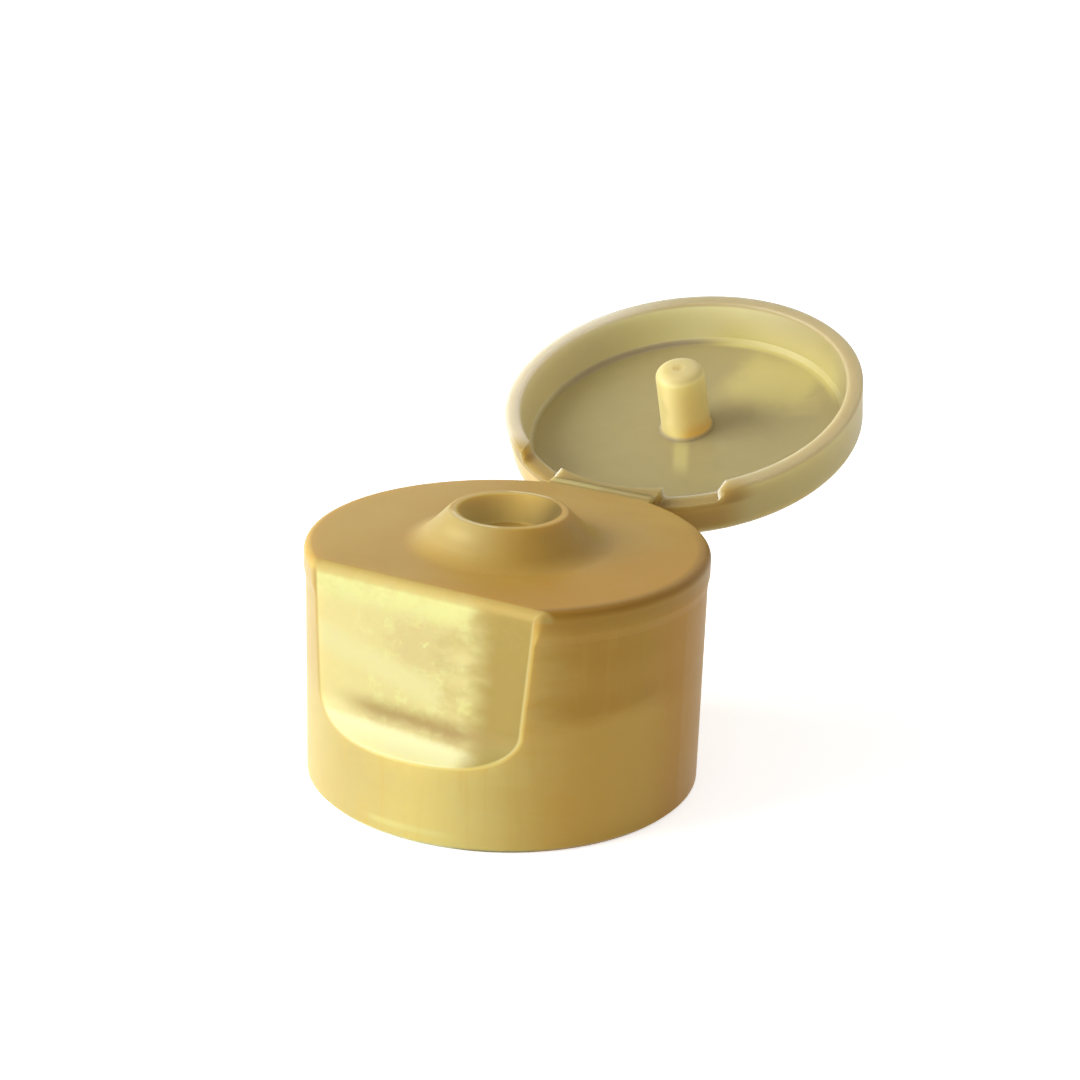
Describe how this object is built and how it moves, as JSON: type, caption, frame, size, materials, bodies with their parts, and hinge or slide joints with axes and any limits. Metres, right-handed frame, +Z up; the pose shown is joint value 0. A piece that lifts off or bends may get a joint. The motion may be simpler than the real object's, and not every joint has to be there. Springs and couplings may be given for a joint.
{
  "type": "flip top cap",
  "caption": "Round flip-top dispensing cap with a thumb recess, a central nozzle and a shallow lid on a living hinge.",
  "frame": {"origin": "centre of the open bottom rim, on the cap's axis", "axes": "+Z up the cap's axis towards the nozzle, -Y towards the thumb recess, +Y towards the hinge"},
  "size_m": [0.033, 0.0642, 0.0311],
  "materials": {
    "cap_plastic": "pearl gold, gloss",
    "lid_plastic": "pearl gold, gloss",
    "hinge_plastic": "pearl gold, gloss"
  },
  "bodies": {
    "cap": {"cap_body": "cap_plastic", "living_hinge": "hinge_plastic"},
    "lid": {"flip_lid": "lid_plastic"}
  },
  "joints": [
    {"name": "lid_hinge", "type": "hinge", "parent": "cap", "child": "lid", "pos_m": [0, 0.0161, 0.02005], "axis": [1, 0, 0], "range_deg": [-20, 160], "deforming": ["living_hinge"]}
  ]
}
